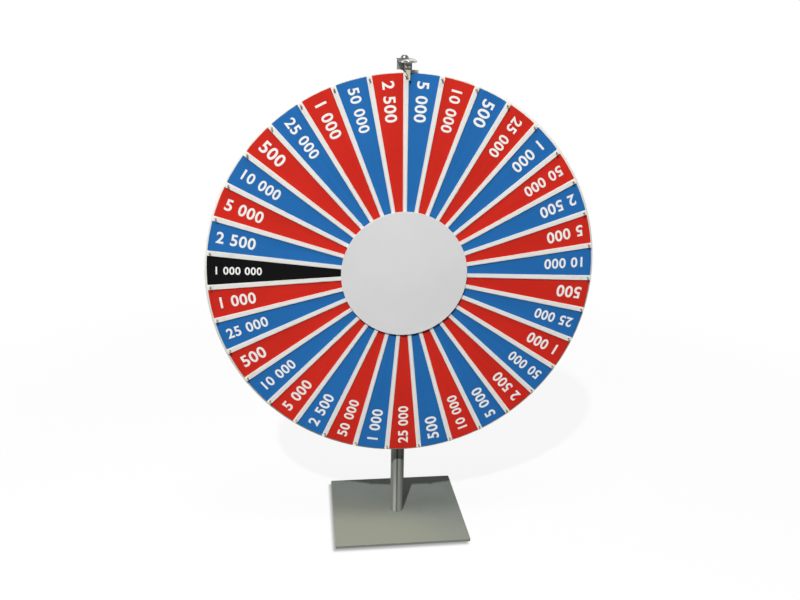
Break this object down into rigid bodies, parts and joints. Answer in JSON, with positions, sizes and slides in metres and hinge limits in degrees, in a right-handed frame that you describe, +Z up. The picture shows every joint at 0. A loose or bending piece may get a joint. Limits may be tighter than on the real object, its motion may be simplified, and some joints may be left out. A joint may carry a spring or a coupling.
{
  "type": "prize wheel",
  "caption": "Free-standing prize wheel: wedge panels slide between radial dividers on a round board that spins on a post, and pegs near the rim flick a soft flapper.",
  "frame": {"origin": "on the floor below the post's axis, at the middle of the base plate", "axes": "+Z up, the wheel faces -Y, +X to the right seen from in front"},
  "size_m": [0.9, 0.31, 1.1385],
  "materials": {
    "plate_paint": "satin powder coat, silver grey",
    "rubber": "matt",
    "post_steel": "satin",
    "bare_steel": "turned",
    "zinc": "zinc plated",
    "bearing_steel": "polished",
    "hub_metal": "turned",
    "board_white": "white faced fibreboard",
    "edging_white": "smooth",
    "divider_white": "smooth",
    "peg_metal": "dull, dark",
    "print_red": "printed sheet",
    "print_blue": "printed sheet",
    "print_black": "printed sheet",
    "cover_white": "satin sheet",
    "flapper_soft": "cast polyurethane, amber"
  },
  "bodies": {
    "stand": {"base_plate": "plate_paint", "base_feet": "rubber", "post_tube": "post_steel", "foot_plug": "bare_steel", "foot_bolt": "zinc", "top_plug": "bare_steel", "pointer_arm": "post_steel", "arm_bolt": "zinc", "arm_washer": "zinc", "flapper_bracket": "bare_steel", "bracket_screw": "zinc", "bracket_nut": "zinc", "clamp_plate": "zinc", "clamp_screws": "zinc", "clamp_nuts": "zinc", "axle": "bare_steel", "front_saddle": "bare_steel", "rear_saddle": "bare_steel", "axle_nut": "zinc", "bearing_inner_rings": "bearing_steel", "bearing_balls": "bearing_steel", "bearing_spacer": "bare_steel", "end_washer": "zinc", "end_bolt": "zinc"},
    "wheel": {"wheel_board": "board_white", "rim_edging": "edging_white", "divider_strips": "divider_white", "divider_screws": "zinc", "pegs": "peg_metal", "red_panels": "print_red", "blue_panels": "print_blue", "black_panel": "print_black", "hub": "hub_metal", "hub_bolts": "zinc", "hub_nuts": "zinc", "bearing_outer_rings": "bearing_steel", "cover_ring": "board_white", "cover_disc": "cover_white"},
    "flapper": {"flapper": "flapper_soft"}
  },
  "joints": [
    {"name": "wheel_spin", "type": "hinge", "parent": "stand", "child": "wheel", "pos_m": [0, -0.065, 0.658], "axis": [0, 1, 0], "continuous": true},
    {"name": "flapper_flick", "type": "hinge", "parent": "stand", "child": "flapper", "pos_m": [-0.0025, -0.0734, 1.109], "axis": [0, 1, 0], "range_deg": [-55, 55], "stiffness_Nm_per_rad": 0.02, "deforming": ["flapper"]}
  ]
}
